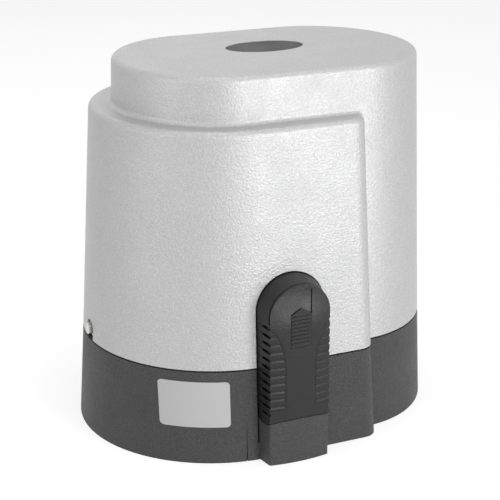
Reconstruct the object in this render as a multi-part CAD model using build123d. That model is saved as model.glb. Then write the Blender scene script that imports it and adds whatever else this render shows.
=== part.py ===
"""Sliding gate motor: a vertical motor drives a worm and wheel, whose shaft carries the rack pinion."""

from build123d import *
import math
import os

# Overall form. X is along the gate, -Y is the side with the release handle, and Z is up from the
# mounting surface.
total_height = 305.0
seam_height = 77.0
seam_gap = 1.4
core_half_straight = 48.0
core_end_reach = 78.5
core_half_depth = 86.9
cover_draft = 2.13
base_draft = 2.51
bump_step = 17.2
bump_end_draft = 1.59
bump_right = 48.4
bump_corner_radius = 13.0
ledge_drop = 37.3
ledge_height = total_height - ledge_drop
top_edge_radius = 5.0
ledge_edge_radius = 5.0
ledge_foot_radius = 3.5
cover_wall = 3.0
base_wall = 4.0
base_floor = 6.0

# Clearances.
running_gap = 0.04
sliding_gap = 0.3
seat_gap = 0.1

# Foundation holes in the base floor, and the cable entry.
bolt_spacing_x = 190.0
bolt_spacing_y = 130.0
bolt_hole_radius = 5.5
bolt_boss_radius = 14.0
bolt_boss_height = 4.0
cable_hole_x = -112.0
cable_hole_y = 30.0
cable_hole_radius = 14.0

# Output shaft, in line with the release handle.
shaft_x = -28.0
shaft_z = 57.0
shaft_radius = 10.0
shaft_front = -34.0
shaft_back = 150.0
shaft_bore_radius = 4.3

# Worm gear.
gear_module = 2.0
wheel_teeth = 30
worm_pitch_radius = 9.0
wheel_width = 16.0
tooth_backlash = 0.5
tooth_flank_slope = 0.364
worm_thread_length = 36.0
worm_shaft_radius = 6.4

# Rack pinion.
pinion_module = 4.0
pinion_teeth = 16
pinion_width = 28.0
pinion_back = 146.0
pinion_pressure_angle = 20.0

# Gear case.
case_wall = 4.5
case_front = -24.0
case_back = 37.0
case_nose_radius = 17.0
case_foot_height = 7.0
case_foot_x = 100.0
case_foot_y = 74.0
bush_length = 12.0
bush_wall = 3.0
bearing_radius = 15.0
bearing_height = 9.0

# Motor, upright on the gear case.
motor_flange_z = 102.0
stator_radius = 50.0
stator_bore_radius = 28.0
stator_height = 58.0
end_turn_height = 13.0
shield_height = 26.0
rotor_gap = 0.5
tie_bolt_circle = 54.5
tie_bolt_radius = 2.5

# Dog clutch on the shaft.
dog_count = 4
clutch_length = 13.0
clutch_radius = 22.0
clutch_travel = 5.0
dog_height = 4.0

# Release handle.
handle_back_y = -110.4
handle_front_y = -129.0
handle_dome = 2.4
handle_half_width_back = 28.7
handle_half_width_front = 25.6
handle_arch_z = 124.5
handle_wall = 2.6
hinge_y = -121.0
hinge_z = 49.0
hinge_pin_radius = 3.0
hinge_sweep_radius = 14.95
handle_gap = 0.8
grip_groove_count = 12
grip_groove_pitch = 6.6
grip_groove_low_z = 44.0
grip_groove_radius = 1.3
release_face_y = -110.0
release_depth = 22.0

# Key cover and lock in the handle.
key_cover_half_width = 8.6
key_cover_low = 99.0
key_cover_shoulder = 126.0
key_cover_tip = 131.0
key_cover_travel = 15.0
key_cover_thickness = 1.8
key_cover_ribs = 8
lock_z = 108.0
lock_radius = 5.5

# Limit switch.
limit_arch_half_width = 18.0
limit_arch_top = 142.0
limit_lever_z = 126.0
limit_lever_radius = 3.0
limit_lever_reach = 152.0
limit_pivot_y = 101.0

os.makedirs("parts", exist_ok=True)


def save(shape, name):
    """Write one node, as a compound of its solids."""
    solids = shape.solids()
    part = solids[0] if len(solids) == 1 else Compound(children=list(solids))
    export_step(part, f"parts/{name}.step")
    print(name, len(solids), round(sum(s.volume for s in solids)))


def rod(radius, start, end, axis="Z", at=(0, 0)):
    """A cylinder from start to end along an axis, at the two other coordinates."""
    length = end - start
    middle = (start + end) / 2
    if axis == "Z":
        return Pos(at[0], at[1], middle) * Cylinder(radius, length)
    if axis == "Y":
        return Pos(at[0], middle, at[1]) * Rot(90, 0, 0) * Cylinder(radius, length)
    return Pos(middle, at[0], at[1]) * Rot(0, 90, 0) * Cylinder(radius, length)


def block(x0, x1, y0, y1, z0, z1):
    """A box between two corners."""
    centre = Pos((x0 + x1) / 2, (y0 + y1) / 2, (z0 + z1) / 2)
    return centre * Box(x1 - x0, y1 - y0, z1 - z0)


def draft_offset(z):
    """How far the outline stands out at a height, against the top."""
    seam_offset = (total_height - max(z, seam_height)) * math.tan(math.radians(cover_draft))
    return seam_offset + max(0.0, seam_height - z) * math.tan(math.radians(base_draft))


def core_outline(z, inset=0.0):
    """The oval plan at a height."""
    out = draft_offset(z) - inset
    straight = core_half_straight
    reach = core_end_reach + out
    depth = core_half_depth + out
    wire = Wire([
        EllipticalCenterArc((straight, 0), reach, depth, start_angle=-90, arc_size=180),
        Line((straight, depth), (-straight, depth)),
        EllipticalCenterArc((-straight, 0), reach, depth, start_angle=90, arc_size=180),
        Line((-straight, -depth), (straight, -depth)),
    ])
    return Pos(0, 0, z) * make_face(wire)


def bump_outline(z, inset=0.0):
    """The wider plan that wraps the left end, with a rounded step at its right side."""
    out = draft_offset(z) - inset + bump_step
    end_extra = (total_height - z) * math.tan(math.radians(bump_end_draft))
    depth = core_half_depth + out
    reach = core_end_reach + out + end_extra
    right = bump_right + draft_offset(z) - draft_offset(seam_height) - inset
    corner = bump_corner_radius - inset
    left = -core_half_straight
    wire = Wire([
        EllipticalCenterArc((left, 0), reach, depth, start_angle=90, arc_size=180),
        Line((left, -depth), (right - corner, -depth)),
        CenterArc((right - corner, -depth + corner), corner, -90, 90),
        Line((right, -depth + corner), (right, depth - corner)),
        CenterArc((right - corner, depth - corner), corner, 0, 90),
        Line((right - corner, depth), (left, depth)),
    ])
    return Pos(0, 0, z) * make_face(wire)


def drafted(outline, low, high, inset=0.0):
    """A solid between two heights of an outline."""
    sections = [outline(z, inset).face().outer_wire() for z in (low, high)]
    return Part() + Solid.make_loft(sections, ruled=True)


def arch_face(half_width, spring_z, low_z):
    """An upright slot with a half-round top, centred on the shaft, in the XZ plane."""
    left = shaft_x - half_width
    right = shaft_x + half_width
    wire = Wire([
        Line((left, low_z), (right, low_z)),
        Line((right, low_z), (right, spring_z)),
        ThreePointArc((right, spring_z), (shaft_x, spring_z + half_width), (left, spring_z)),
        Line((left, spring_z), (left, low_z)),
    ])
    return make_face(wire)


def upright(face, y0, y1):
    """A face drawn in X and Z, extruded along Y from y0 to y1."""
    placed = Pos(0, y1, 0) * Rot(90, 0, 0) * face
    return extrude(placed, amount=y1 - y0, dir=(0, -1, 0))


# Points that several pieces share.
cover_bottom = seam_height + seam_gap
worm_x = shaft_x + gear_module * wheel_teeth / 2 + worm_pitch_radius
lip_radius = hinge_sweep_radius + 0.4
block_top = hinge_z - math.sqrt(lip_radius ** 2 - (handle_front_y - handle_dome - hinge_y) ** 2)
screw_z = cover_bottom + 8.0
cover_screw_radius = 3.0
screw_head_radius = 6.3
screw_head_length = 6.0
lug_thickness = 4.0
foot_back_y = -107.0


def cover_end(side, z, inset=0.0):
    """The X of the cover's end face on the centre line."""
    if side > 0:
        return core_half_straight + core_end_reach + draft_offset(z) - inset
    end_extra = (total_height - z) * math.tan(math.radians(bump_end_draft))
    return -(core_half_straight + core_end_reach + draft_offset(z) + bump_step + end_extra - inset)


screw_pocket_depth = 4.0
screw_seat_wall = 3.0


def screw_seat(side):
    """The X where a cover screw's head seats."""
    return cover_end(side, screw_z) - side * screw_pocket_depth


def lug_face(side):
    """The X of the base lug's outer face."""
    return screw_seat(side) - side * (screw_seat_wall + sliding_gap)


def make_cover():
    core = drafted(core_outline, cover_bottom, total_height)
    core = fillet(core.edges().group_by(Axis.Z)[-1], top_edge_radius)
    bump = drafted(bump_outline, cover_bottom, ledge_height)
    bump = fillet(bump.edges().group_by(Axis.Z)[-1], ledge_edge_radius)
    shell = core + bump
    foot = [e for e in shell.edges() if abs(e.center().Z - ledge_height) < 0.2 and e.length > 20]
    shell = fillet(foot, ledge_foot_radius)
    inner_core = drafted(core_outline, cover_bottom - 1.0, total_height - cover_wall, cover_wall)
    inner_bump = drafted(bump_outline, cover_bottom - 1.0, ledge_height - cover_wall, cover_wall)
    boss_bodies = Part()
    boss_cuts = Part()
    for side in (-1, 1):
        end = cover_end(side, screw_z)
        seat = screw_seat(side)
        boss_end = seat - side * screw_seat_wall
        low, high = sorted((boss_end, end - side * 1.0))
        boss = rod(screw_head_radius + 5.0, low, high, "X", (0, screw_z))
        boss_bodies += boss - block(-400, 400, -50, 50, -50, cover_bottom)
        low, high = sorted((seat, end + side * 10.0))
        boss_cuts += rod(screw_head_radius + 1.5, low, high, "X", (0, screw_z))
        boss_cuts += block(low, high, -screw_head_radius - 1.5, screw_head_radius + 1.5, 0, screw_z)
        low, high = sorted((boss_end - side * 1.0, end))
        boss_cuts += rod(cover_screw_radius + seat_gap, low, high, "X", (0, screw_z))
    shell = shell - inner_core - inner_bump + boss_bodies - boss_cuts
    front_arch = arch_face(handle_half_width_back + handle_gap, handle_arch_z, 0)
    shell -= upright(front_arch, -140, -80)
    back_arch = arch_face(limit_arch_half_width, limit_arch_top - limit_arch_half_width, 0)
    shell -= upright(back_arch, 80, 140)
    recess = extrude(Ellipse(badge_half_x, badge_half_y), badge_depth / 2, both=True)
    recess = Pos(badge_x, badge_y, total_height - badge_depth / 2) * recess
    return shell - recess


badge_x = 4.0
badge_y = 11.0
badge_half_x = 33.5
badge_half_y = 21.5
badge_depth = 1.2


def make_badge():
    plate = extrude(Ellipse(badge_half_x - sliding_gap, badge_half_y - sliding_gap), badge_depth - 0.4)
    plate = fillet(plate.edges().group_by(Axis.Z)[-1], 0.3)
    return Pos(badge_x, badge_y, total_height - badge_depth) * plate


def make_cover_screws():
    """A flanged hexagon screw and its nut at each end, which stay in the cover."""
    screws = Part()
    for side in (-1, 1):
        seat = screw_seat(side)
        lug_inner = lug_face(side) - side * lug_thickness
        low, high = sorted((seat, seat + side * 2.0))
        screws += rod(screw_head_radius, low, high, "X", (0, screw_z))
        hexagon = extrude(RegularPolygon(screw_head_radius - 1.2, 6), screw_head_length - 2.0)
        hexagon = Pos(seat + side * 2.0, 0, screw_z) * Rot(0, 90 * side, 0) * hexagon
        screws += hexagon
        nut_face = lug_inner - side * sliding_gap
        low, high = sorted((nut_face - side * 3.0, seat))
        screws += rod(cover_screw_radius, low, high, "X", (0, screw_z))
        low, high = sorted((nut_face - side * 3.0, nut_face))
        screws += rod(cover_screw_radius + 2.2, low, high, "X", (0, screw_z))
    return screws


def gasket_ring(low, high, inset, width):
    outer = drafted(core_outline, low, high, inset) + drafted(bump_outline, low, high, inset)
    inner = drafted(core_outline, low - 1, high + 1, inset + width)
    inner += drafted(bump_outline, low - 1, high + 1, inset + width)
    return outer - inner


def make_gasket():
    ring = gasket_ring(seam_height, cover_bottom, 1.2, 1.6)
    ring -= upright(arch_face(handle_half_width_back + handle_gap, handle_arch_z, 0), -140, -80)
    ring -= upright(arch_face(limit_arch_half_width, limit_arch_top - limit_arch_half_width, 0), 80, 140)
    for side in (-1, 1):
        low, high = sorted((screw_seat(side) - side * 6, cover_end(side, screw_z) + side * 6))
        ring -= block(low, high, -screw_head_radius - 2.0, screw_head_radius + 2.0, 0, screw_z)
    return ring


def foot_outline(inset):
    """Plan of the block under the handle: flanks that close towards a slightly domed front."""
    back = handle_half_width_back - inset
    front = handle_half_width_front - inset
    front_y = handle_front_y + inset
    wire = Wire([
        Line((shaft_x - back, foot_back_y), (shaft_x - back, handle_back_y)),
        Line((shaft_x - back, handle_back_y), (shaft_x - front, front_y)),
        ThreePointArc((shaft_x - front, front_y), (shaft_x, front_y - handle_dome), (shaft_x + front, front_y)),
        Line((shaft_x + front, front_y), (shaft_x + back, handle_back_y)),
        Line((shaft_x + back, handle_back_y), (shaft_x + back, foot_back_y)),
        Line((shaft_x + back, foot_back_y), (shaft_x - back, foot_back_y)),
    ])
    return make_face(wire)


def make_base():
    body = drafted(core_outline, 0, seam_height) + drafted(bump_outline, 0, seam_height)
    nose = extrude(foot_outline(0), block_top + 2.0)
    corners = [e for e in nose.edges().filter_by(Axis.Z) if e.center().Y < handle_front_y + 1]
    nose = fillet(corners, 2.5)
    inner = drafted(core_outline, base_floor, seam_height + 1, base_wall)
    inner += drafted(bump_outline, base_floor, seam_height + 1, base_wall)
    body = body - inner
    opening = arch_face(handle_half_width_back + handle_gap, handle_arch_z, base_floor + 8)
    body -= upright(opening, -140, -100)
    body += nose
    body -= Pos(0, 0, base_floor) * extrude(foot_outline(base_wall), block_top - base_floor - 2 * base_wall)
    body -= block(shaft_x - 24.0, shaft_x + 24.0, -112, -90, base_floor, block_top + 3)
    body -= rod(lip_radius, shaft_x - 29.5, shaft_x + 29.5, "X", (hinge_y, hinge_z))
    body -= block(shaft_x - 29.5, shaft_x + 29.5, -140, -90, hinge_z, seam_height + 1)
    # Foundation bosses with their holes, and the cable entry with its collar.
    for x in (-bolt_spacing_x / 2, bolt_spacing_x / 2):
        for y in (-bolt_spacing_y / 2, bolt_spacing_y / 2):
            body += rod(bolt_boss_radius, 1.0, base_floor + bolt_boss_height, at=(x, y))
    body += rod(cable_hole_radius + 4, 1.0, base_floor + 10, at=(cable_hole_x, cable_hole_y))
    for x in (-bolt_spacing_x / 2, bolt_spacing_x / 2):
        for y in (-bolt_spacing_y / 2, bolt_spacing_y / 2):
            body -= rod(bolt_hole_radius, -1, 30, at=(x, y))
    body -= rod(cable_hole_radius, -1, 30, at=(cable_hole_x, cable_hole_y))
    # Lugs for the captive cover screws, each with a slot that is open at the top.
    for side in (-1, 1):
        face = lug_face(side)
        low, high = sorted((face, face - side * lug_thickness))
        lug = block(low, high, -11, 11, 2.0, screw_z + 7)
        rib_low, rib_high = sorted((face - side * lug_thickness, face - side * (lug_thickness + 9)))
        lug += block(rib_low, rib_high, -11, -8, 2.0, screw_z - 8)
        lug += block(rib_low, rib_high, 8, 11, 2.0, screw_z - 8)
        slot = cover_screw_radius + sliding_gap
        lug -= block(low - 1, high + 1, -slot, slot, screw_z, screw_z + 20)
        lug -= rod(slot, low - 1, high + 1, "X", (0, screw_z))
        body += lug
    # The opening in the back wall that the gear case's nose passes through.
    body -= rod(case_nose_radius + seat_gap, 90, 140, "Y", (shaft_x, shaft_z))
    # The parting line of the mould, left of the handle.
    line_x = shaft_x - 38.5
    body -= block(line_x - 0.35, line_x + 0.35, -130, -112.9, -1, seam_height + 1) & block(
        line_x - 1, line_x + 1, -116.6, -111.9, -1, seam_height + 1)
    return body


def make_cable_grommet():
    """Rubber sleeve in the cable entry."""
    sleeve = rod(cable_hole_radius - seat_gap, 0.6, base_floor + 12, at=(cable_hole_x, cable_hole_y))
    sleeve += rod(cable_hole_radius + 3, base_floor + 10, base_floor + 13, at=(cable_hole_x, cable_hole_y))
    return sleeve - rod(cable_hole_radius - 3, -1, 60, at=(cable_hole_x, cable_hole_y))


wheel_pitch_radius = gear_module * wheel_teeth / 2
case_inner_radius = wheel_pitch_radius + gear_module + 1.5
case_outer_radius = case_inner_radius + case_wall
worm_bore_radius = bearing_radius
worm_low_bearing = shaft_z - 32.0
worm_high_bearing = motor_flange_z - bearing_height
bush_radius = shaft_radius + bush_wall
nose_end = 113.5
rear_bush_back = nose_end - 5.0


def make_gear_case():
    axis = (shaft_x, shaft_z)
    worm = (worm_x, 0)
    body = rod(case_outer_radius, case_front, case_back, "Y", axis)
    body += rod(case_nose_radius, case_back - 1, nose_end, "Y", axis)
    body += rod(worm_bore_radius + case_wall, worm_low_bearing - 5, motor_flange_z, at=worm)
    body += rod(case_flange_radius, motor_flange_z - 6, motor_flange_z, at=worm)
    foot = block(case_foot_centre - case_foot_x / 2, case_foot_centre + case_foot_x / 2,
                 case_front, case_foot_y + case_front, base_floor, base_floor + case_foot_height)
    foot = fillet(foot.edges().filter_by(Axis.Z), 10)
    body += foot
    # Webs that carry the chamber and the flange on the foot.
    web_top = motor_flange_z - 6
    for x in (shaft_x, worm_x):
        body += block(x - 3, x + 3, case_front + 2, case_back + 8, base_floor, shaft_z - 20)
    cross_web = block(worm_x - 3, worm_x + 3, -44, 44, shaft_z, web_top)
    body += cross_web & rod(stator_radius, shaft_z, web_top, at=worm)
    long_web = block(shaft_x, worm_x + 44, -4, 4, base_floor, web_top)
    body += long_web & rod(stator_radius + 20, 0, web_top, at=worm)
    # Pad for the limit switch on the nose.
    body += block(shaft_x - 12, shaft_x + 12, 78, 106, shaft_z, limit_base_z)
    body -= rod(case_inner_radius, case_front - 1, case_back - case_wall, "Y", axis)
    body -= rod(bush_radius, case_back - case_wall - 1, rear_bush_back, "Y", axis)
    body -= rod(shaft_radius + 4, rear_bush_back - 1, nose_end + 1, "Y", axis)
    body -= rod(worm_bore_radius, worm_low_bearing, motor_flange_z + 1, at=worm)
    for x in case_foot_screws_x:
        for y in case_foot_screws_y:
            body -= rod(2.6, 0, 30, at=(x, y))
    for x, z in case_cover_screws:
        body -= rod(2.1, case_front - 1, case_front + 10, "Y", (x, z))
    for x, y in tie_bolt_places:
        body -= rod(tie_bolt_radius + seat_gap, motor_flange_z - 20, motor_flange_z + 1, at=(x, y))
    return body


limit_base_z = seam_height
case_foot_centre = -12.0
case_flange_radius = 62.0
case_foot_screws_x = (-56.0, 32.0)
case_foot_screws_y = (-17.0, 43.0)
case_screw_circle = case_inner_radius + case_wall / 2
case_cover_screws = [
    (shaft_x + case_screw_circle * math.cos(math.radians(a)), shaft_z + case_screw_circle * math.sin(math.radians(a)))
    for a in (30, 90, 150, 210, 270, 330)
]
tie_bolt_places = [
    (worm_x + tie_bolt_circle * math.cos(math.radians(a)), tie_bolt_circle * math.sin(math.radians(a)))
    for a in (45, 135, 225, 315)
]


def make_case_cover():
    """Front plate of the gear case, with the front bush's hub."""
    axis = (shaft_x, shaft_z)
    plate = rod(case_outer_radius, case_front - 4, case_front, "Y", axis)
    plate += rod(case_nose_radius, case_front - 14, case_front - 3, "Y", axis)
    plate -= rod(bush_radius, case_front - 13, case_front + 1, "Y", axis)
    plate -= rod(shaft_bore_radius + 0.2, case_front - 20, case_front, "Y", axis)
    for x, z in case_cover_screws:
        plate -= rod(2.1, case_front - 10, case_front + 1, "Y", (x, z))
    # The plate's rim is cut away beside the web under the flange.
    plate -= block(worm_x - 3.4, worm_x + 10, case_front - 20, case_front + 1, 0, motor_flange_z)
    return plate


def make_case_screws():
    """Cap screws of the gear case's cover and foot."""
    screws = Part()
    for x, z in case_cover_screws:
        screws += rod(2.0, case_front - 4, case_front + 9, "Y", (x, z))
        screws += rod(3.2, case_front - 8, case_front - 4, "Y", (x, z))
    top = base_floor + case_foot_height
    for x in case_foot_screws_x:
        for y in case_foot_screws_y:
            screws += rod(2.5, base_floor, top, at=(x, y))
            screws += rod(4.5, top, top + 4, at=(x, y))
    return screws


def make_shaft_bushes():
    """Bronze bushes: one in the case cover, one at the end of the nose."""
    bushes = Part()
    for start, end in ((case_front - 13 + 0.2, case_front - 1), (rear_bush_back - bush_length, rear_bush_back)):
        ring = rod(bush_radius, start, end, "Y", (shaft_x, shaft_z))
        bushes += ring - rod(shaft_radius + running_gap, start - 1, end + 1, "Y", (shaft_x, shaft_z))
    return bushes


def make_shaft_seal():
    ring = rod(shaft_radius + 4, rear_bush_back, nose_end - 0.5, "Y", (shaft_x, shaft_z))
    return ring - rod(shaft_radius + 0.08, 0, 200, "Y", (shaft_x, shaft_z))


clutch_rest_y = wheel_width / 2 + 3.0
cross_pin_y = clutch_rest_y + clutch_length / 2
cross_pin_radius = 2.5


def make_output_shaft():
    axis = (shaft_x, shaft_z)
    shaft = rod(shaft_radius, shaft_front, shaft_back, "Y", axis)
    shaft = chamfer(shaft.edges().group_by(Axis.Y)[-1], 1.0)
    shaft -= rod(shaft_bore_radius, shaft_front - 1, cross_pin_y + clutch_travel + 6, "Y", axis)
    slot_half = cross_pin_radius + sliding_gap
    slot_low = cross_pin_y - slot_half
    slot_high = cross_pin_y + clutch_travel + slot_half
    shaft -= block(shaft_x - 20, shaft_x + 20, slot_low, slot_high, shaft_z - slot_half, shaft_z + slot_half)
    # Collar that the wheel runs against, and the keyway for the pinion.
    shaft += rod(shaft_radius + 3, -wheel_width / 2 - 6, -wheel_width / 2 - 3, "Y", axis) - rod(
        shaft_bore_radius, -40, 0, "Y", axis)
    shaft -= block(shaft_x - key_width / 2, shaft_x + key_width / 2, pinion_back - pinion_width,
                   shaft_back + 1, shaft_z + shaft_radius - key_depth, shaft_z + shaft_radius + 5)
    shaft -= rod(3.0, shaft_back - 18, shaft_back + 1, "Y", axis)
    return shaft


key_width = 6.0
key_depth = 3.0


def make_pinion_key():
    return block(shaft_x - key_width / 2, shaft_x + key_width / 2, pinion_back - pinion_width,
                 pinion_back, shaft_z + shaft_radius - key_depth, shaft_z + shaft_radius + 2.8)


def worm_wheel_tooth():
    """One tooth, leaned to the worm's lead, as a loft from its front to its back face."""
    half_pitch = math.pi * gear_module / 4 - tooth_backlash / 2
    root = wheel_pitch_radius - 1.25 * gear_module
    tip = wheel_pitch_radius + gear_module - 0.1
    lead = math.atan(gear_module / (2 * worm_pitch_radius))
    faces = []
    for side in (-1, 1):
        y = side * wheel_width / 2
        lean = -side * (wheel_width / 2) * math.tan(lead)
        points = []
        for radius, hand in ((root - 1, -1), (tip, -1), (tip, 1), (root - 1, 1)):
            half = half_pitch - (radius - wheel_pitch_radius) * tooth_flank_slope
            points.append((radius, y, hand * half + lean))
        faces.append(Wire.make_polygon(points, close=True))
    return Solid.make_loft(faces, ruled=True)


def make_worm_wheel():
    root = wheel_pitch_radius - 1.25 * gear_module
    wheel = rod(root, -wheel_width / 2, wheel_width / 2, "Y")
    wheel -= rod(root - 5, wheel_width / 2 - 3, 20, "Y")
    wheel -= rod(root - 5, -20, -wheel_width / 2 + 3, "Y")
    wheel += rod(shaft_radius + 5, -wheel_width / 2 - 2.8, wheel_width / 2, "Y")
    wheel += rod(clutch_radius, 0, wheel_width / 2, "Y")
    wheel -= rod(shaft_radius + running_gap, -40, 40, "Y")
    tooth = worm_wheel_tooth()
    step = 360.0 / wheel_teeth
    teeth = [Rot(0, wheel_phase + step * i, 0) * tooth for i in range(wheel_teeth)]
    wheel = wheel + teeth
    # Pockets for the clutch's dogs.
    for i in range(dog_count):
        wheel -= Rot(0, 360.0 / dog_count * i, 0) * dog_form(0.6)
    return Pos(shaft_x, 0, shaft_z) * wheel


# A space of the wheel faces the worm at rest, where the worm's thread crosses the wheel's plane.
wheel_phase = 180.0 / wheel_teeth


def dog_form(extra):
    """One dog of the clutch, about the shaft's axis, with room around it when it is a pocket."""
    low = wheel_width / 2 - dog_height - extra + 1.0
    return block(shaft_radius + 4.5 - extra, clutch_radius - 2.0 + extra, low, clutch_rest_y + 2.0,
                 -4.0 - extra, 4.0 + extra)


def make_clutch_ring():
    ring = rod(clutch_radius, clutch_rest_y, clutch_rest_y + clutch_length, "Y")
    ring -= rod(clutch_radius + 2, clutch_rest_y + 5, clutch_rest_y + 8, "Y") - rod(
        clutch_radius - 3, clutch_rest_y + 4, clutch_rest_y + 9, "Y")
    for i in range(dog_count):
        ring += Rot(0, 360.0 / dog_count * i, 0) * dog_form(0.0)
    ring -= rod(shaft_radius + running_gap, -40, 60, "Y")
    ring -= rod(cross_pin_radius, -40, 40, "X", (cross_pin_y, 0))
    return Pos(shaft_x, 0, shaft_z) * ring


def make_clutch_pin():
    return rod(cross_pin_radius, shaft_x - clutch_radius + 3.2, shaft_x + clutch_radius - 3.2, "X",
               (cross_pin_y, shaft_z))


def involute_point(base_radius, radius, turn):
    """A point of an involute at a radius, turned about the centre."""
    roll = math.sqrt(max((radius / base_radius) ** 2 - 1, 0.0))
    angle = roll - math.atan(roll) + turn
    return (radius * math.cos(angle), radius * math.sin(angle))


def make_pinion():
    pitch = pinion_module * pinion_teeth / 2
    base_radius = pitch * math.cos(math.radians(pinion_pressure_angle))
    tip = pitch + pinion_module
    root = pitch - 1.25 * pinion_module
    roll = math.tan(math.radians(pinion_pressure_angle))
    flank_turn = -(math.pi / (2 * pinion_teeth) + roll - math.atan(roll))
    radii = [base_radius + (tip - base_radius) * t / 3 for t in range(4)]
    right = [involute_point(base_radius, r, flank_turn) for r in radii]
    left = [(x, -y) for x, y in reversed(right)]
    root_right = (root * math.cos(flank_turn) - 0.6, root * math.sin(flank_turn))
    root_left = (root_right[0], -root_right[1])
    tooth = make_face(Wire([
        Line(root_right, right[0]),
        Spline(right),
        Line(right[-1], left[0]),
        Spline(left),
        Line(left[-1], root_left),
        Line(root_left, root_right),
    ]))
    step = 360.0 / pinion_teeth
    profile = Circle(root) + [Rot(0, 0, step * i) * tooth for i in range(pinion_teeth)]
    profile -= Circle(shaft_radius + 0.01)
    profile -= Pos(0, shaft_radius) * Rectangle(key_width + 0.04, 2 * 2.9)
    body = extrude(profile, pinion_width)
    return Pos(shaft_x, pinion_back, shaft_z) * Rot(90, 0, 0) * body


def make_pinion_bolt():
    """Washer and bolt that hold the pinion on the shaft."""
    axis = (shaft_x, shaft_z)
    bolt = rod(14.0, shaft_back, shaft_back + 2.5, "Y", axis)
    head = extrude(RegularPolygon(6.0, 6), 5.0)
    bolt += Pos(shaft_x, shaft_back + 7.5, shaft_z) * Rot(90, 0, 0) * head
    bolt += rod(2.95, shaft_back - 14, shaft_back + 1, "Y", axis)
    return bolt


def make_pinion_spacer():
    ring = rod(13.0, nose_end + 0.5, pinion_back - pinion_width, "Y", (shaft_x, shaft_z))
    return ring - rod(shaft_radius + 0.01, 90, 160, "Y", (shaft_x, shaft_z))


def make_pinion_washer_ring():
    """Distance ring between the pinion and the end washer."""
    ring = rod(13.0, pinion_back, shaft_back, "Y", (shaft_x, shaft_z))
    return ring - rod(shaft_radius + 0.01, 90, 160, "Y", (shaft_x, shaft_z))


worm_thread_pitch = math.pi * gear_module
stator_low = motor_flange_z + shield_height
stator_high = stator_low + stator_height
shield_top = stator_high + shield_height


def make_worm_shaft():
    """Motor shaft with the one-start worm cut in its lower end."""
    low = worm_low_bearing + 1.0
    shaft = rod(worm_shaft_radius, low, shield_top - 6)
    half_pitch = math.pi * gear_module / 4 - tooth_backlash / 2
    tip = worm_pitch_radius + gear_module - 0.1
    inner = worm_shaft_radius - 0.6
    turns_low = math.floor(worm_thread_length / 2 / worm_thread_pitch)
    start = shaft_z - turns_low * worm_thread_pitch
    length = 2 * turns_low * worm_thread_pitch
    path = Pos(0, 0, start) * Helix(worm_thread_pitch, length, worm_pitch_radius)
    tip_half = half_pitch - (tip - worm_pitch_radius) * tooth_flank_slope
    root_half = half_pitch + (worm_pitch_radius - inner) * tooth_flank_slope
    section = make_face(Wire.make_polygon([
        (inner, 0, start - root_half),
        (tip, 0, start - tip_half),
        (tip, 0, start + tip_half),
        (inner, 0, start + root_half),
    ], close=True))
    thread = sweep(section, path=path, is_frenet=True)
    worm = shaft + thread
    return Pos(worm_x, 0, 0) * Rot(0, 0, 180) * worm


def make_motor_bearings():
    bearings = Part()
    for low in (worm_low_bearing, worm_high_bearing, stator_high + shield_height - 14):
        ring = rod(bearing_radius - 0.02, low, low + bearing_height, at=(worm_x, 0))
        bearings += ring - rod(worm_shaft_radius + running_gap, 0, 400, at=(worm_x, 0))
    return bearings


def make_lower_shield():
    """Motor end shield that stands on the gear case."""
    at = (worm_x, 0)
    cup = rod(stator_radius - 0.5, motor_flange_z, stator_low, at=at)
    cup -= rod(stator_radius - 4, motor_flange_z + 5, stator_low + 1, at=at)
    cup -= rod(worm_shaft_radius + 1.5, 0, 300, at=at)
    for angle in range(0, 360, 45):
        cup -= Pos(worm_x, 0, motor_flange_z + 15) * Rot(0, 0, angle + 22.5) * Pos(stator_radius, 0, 0) * Box(20, 16, 9)
    for x, y in tie_bolt_places:
        cup += rod(6.5, motor_flange_z, stator_low, at=(x, y)) - rod(stator_radius - 4, 0, 300, at=at)
    for x, y in tie_bolt_places:
        cup -= rod(tie_bolt_radius + seat_gap, 0, 400, at=(x, y))
    return cup


def make_upper_shield():
    at = (worm_x, 0)
    cup = rod(stator_radius - 0.5, stator_high, shield_top, at=at)
    cup = fillet(cup.edges().group_by(Axis.Z)[-1], 6)
    cup -= rod(stator_radius - 4, stator_high - 1, shield_top - 6, at=at)
    cup += rod(bearing_radius + 4, shield_top - 18, shield_top - 2, at=at)
    cup -= rod(bearing_radius, shield_top - 19, shield_top - 5, at=at)
    for angle in range(0, 360, 45):
        cup -= Pos(worm_x, 0, stator_high + 11) * Rot(0, 0, angle + 22.5) * Pos(stator_radius, 0, 0) * Box(20, 16, 9)
    for x, y in tie_bolt_places:
        cup += rod(6.5, stator_high, shield_top - 8, at=(x, y)) - rod(stator_radius - 4, 0, 400, at=at)
    for x, y in tie_bolt_places:
        cup -= rod(tie_bolt_radius + seat_gap, 0, 400, at=(x, y))
    return cup


def make_stator():
    at = (worm_x, 0)
    stack = rod(stator_radius, stator_low, stator_high, at=at)
    for x, y in tie_bolt_places:
        stack += rod(6.5, stator_low, stator_high, at=(x, y))
    for x, y in tie_bolt_places:
        stack -= rod(tie_bolt_radius + seat_gap, 0, 400, at=(x, y))
    return stack - rod(stator_bore_radius, 0, 400, at=at)


def make_windings():
    """Copper end turns at both ends of the stator."""
    turns = Part()
    for low, high in ((stator_low - end_turn_height, stator_low), (stator_high, stator_high + end_turn_height)):
        ring = rod(stator_radius - 6, low, high, at=(worm_x, 0))
        ring -= rod(stator_bore_radius + 3, 0, 400, at=(worm_x, 0))
        stator_middle = (stator_low + stator_high) / 2
        rims = ring.edges().filter_by(GeomType.CIRCLE)
        outer_edges = rims.sort_by(lambda e: abs(e.center().Z - stator_middle))[-2:]
        turns += fillet(outer_edges, 3)
    return turns


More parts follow.
